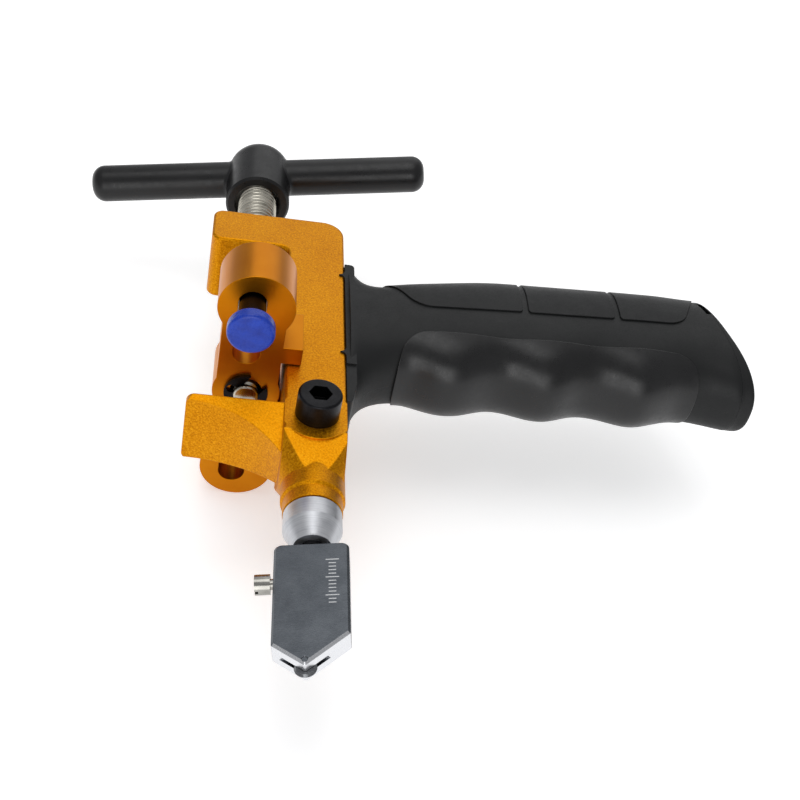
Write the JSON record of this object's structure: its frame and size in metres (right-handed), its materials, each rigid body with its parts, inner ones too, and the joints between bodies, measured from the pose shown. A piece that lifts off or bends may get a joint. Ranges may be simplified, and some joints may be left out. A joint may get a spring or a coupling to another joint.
{
  "type": "glass cutter",
  "caption": "Hand-held glass and tile cutter: pistol grip on a cast frame, swivelling wheel head below, and a T-handled screw press with padded bar and anvil jaw for breaking the score.",
  "frame": {"origin": "on the jaw's flat working face, on the press screw's axis, in the frame's middle plane", "axes": "+X along the handle away from the jaw, +Y up the press screw towards the T handle, +Z out of the frame's front face; the tool is stored lying on its side"},
  "size_m": [0.2261, 0.2406, 0.087],
  "materials": {
    "gold_casting": "sand-blasted, gold anodised casting",
    "gold_milled": "milled, gold anodised bar",
    "spindle_steel": "rolled thread, bright steel",
    "washer_steel": "satin",
    "clip_steel": "black oxide spring steel",
    "handle_plastic": "fine moulded texture",
    "grip_plastic": "fine moulded texture",
    "grip_panel": "smooth moulded",
    "finger_plastic": "satin moulded",
    "cap_blue": "smooth moulded",
    "stem_black": "black oxide",
    "nut_steel": "zinc plated",
    "screw_black": "black oxide",
    "shank_steel": "ground",
    "collar_satin": "satin turned",
    "head_steel": "ground and polished",
    "head_screw_chrome": "nickel plated",
    "wheel_carbide": "ground hard metal",
    "bolt_steel": "zinc plated"
  },
  "bodies": {
    "frame": {"frame_body": "gold_casting", "back_panel_1": "grip_panel", "back_panel_2": "grip_panel", "back_panel_3": "grip_panel", "finger_panel": "finger_plastic", "grip_shell_front": "grip_plastic", "grip_shell_rear": "grip_plastic", "end_cap": "grip_plastic", "grip_bolt": "bolt_steel", "grip_washer": "nut_steel", "grip_spine": "bolt_steel"},
    "press": {"press_block": "gold_milled"},
    "spindle": {"spindle": "spindle_steel", "spindle_clip": "clip_steel", "thrust_washer": "washer_steel", "t_handle": "handle_plastic", "handle_pin": "nut_steel"},
    "front_carrier": {"pad_washer_front": "nut_steel", "pad_nut_front": "nut_steel"},
    "front_pad": {"pad_stem_front": "stem_black", "pad_cap_front": "cap_blue"},
    "rear_carrier": {"pad_washer_rear": "nut_steel", "pad_nut_rear": "nut_steel"},
    "rear_pad": {"pad_stem_rear": "stem_black", "pad_cap_rear": "cap_blue"},
    "clamp_screw": {"clamp_screw": "screw_black"},
    "cutter": {"cutter_shank": "shank_steel", "cutter_collar": "collar_satin", "swivel_pin": "stem_black"},
    "head": {"cutter_head": "head_steel", "wheel_axle": "bolt_steel"},
    "head_screw": {"head_screw": "head_screw_chrome"},
    "wheel": {"cutting_wheel": "wheel_carbide"}
  },
  "joints": [
    {"name": "press_slide", "type": "slide", "parent": "frame", "child": "press", "axis": [0, 1, 0], "range_m": [-0.00301, 0.03801]},
    {"name": "spindle_turn", "type": "hinge", "parent": "press", "child": "spindle", "pos_m": [0, 0.0345, 0], "axis": [0, 1, 0], "range_deg": [-540, 6840]},
    {"name": "front_pad_slide", "type": "slide", "parent": "press", "child": "front_carrier", "axis": [0, 0, 1], "range_m": [-0.0178, 0.0008]},
    {"name": "front_pad_height", "type": "slide", "parent": "front_carrier", "child": "front_pad", "axis": [0, 1, 0], "range_m": [0, 0.0095]},
    {"name": "rear_pad_slide", "type": "slide", "parent": "press", "child": "rear_carrier", "axis": [0, 0, -1], "range_m": [-0.0044, 0.0142]},
    {"name": "rear_pad_height", "type": "slide", "parent": "rear_carrier", "child": "rear_pad", "axis": [0, 1, 0], "range_m": [-0.0095, 0]},
    {"name": "clamp_screw_turn", "type": "hinge", "parent": "frame", "child": "clamp_screw", "pos_m": [0.0204, -0.0034, 0.0122], "axis": [0, 0, 1], "continuous": true},
    {"name": "cutter_slide", "type": "slide", "parent": "frame", "child": "cutter", "axis": [0, -1, 0], "range_m": [0, 0.03]},
    {"name": "head_swivel", "type": "hinge", "parent": "cutter", "child": "head", "pos_m": [0.0208, -0.04655, 0], "axis": [0, 1, 0], "continuous": true},
    {"name": "head_screw_turn", "type": "hinge", "parent": "head", "child": "head_screw", "pos_m": [0.0208, -0.05775, 0], "axis": [0.9816, 0, 0.1908], "continuous": true},
    {"name": "wheel_spin", "type": "hinge", "parent": "head", "child": "wheel", "pos_m": [0.01933, -0.08615, -0.00029], "axis": [-0.1908, 0, 0.9816], "continuous": true}
  ],
  "couplings": [
    {"joint": "press_slide", "follows": "spindle_turn", "m_per_rad": 0.00031831}
  ]
}
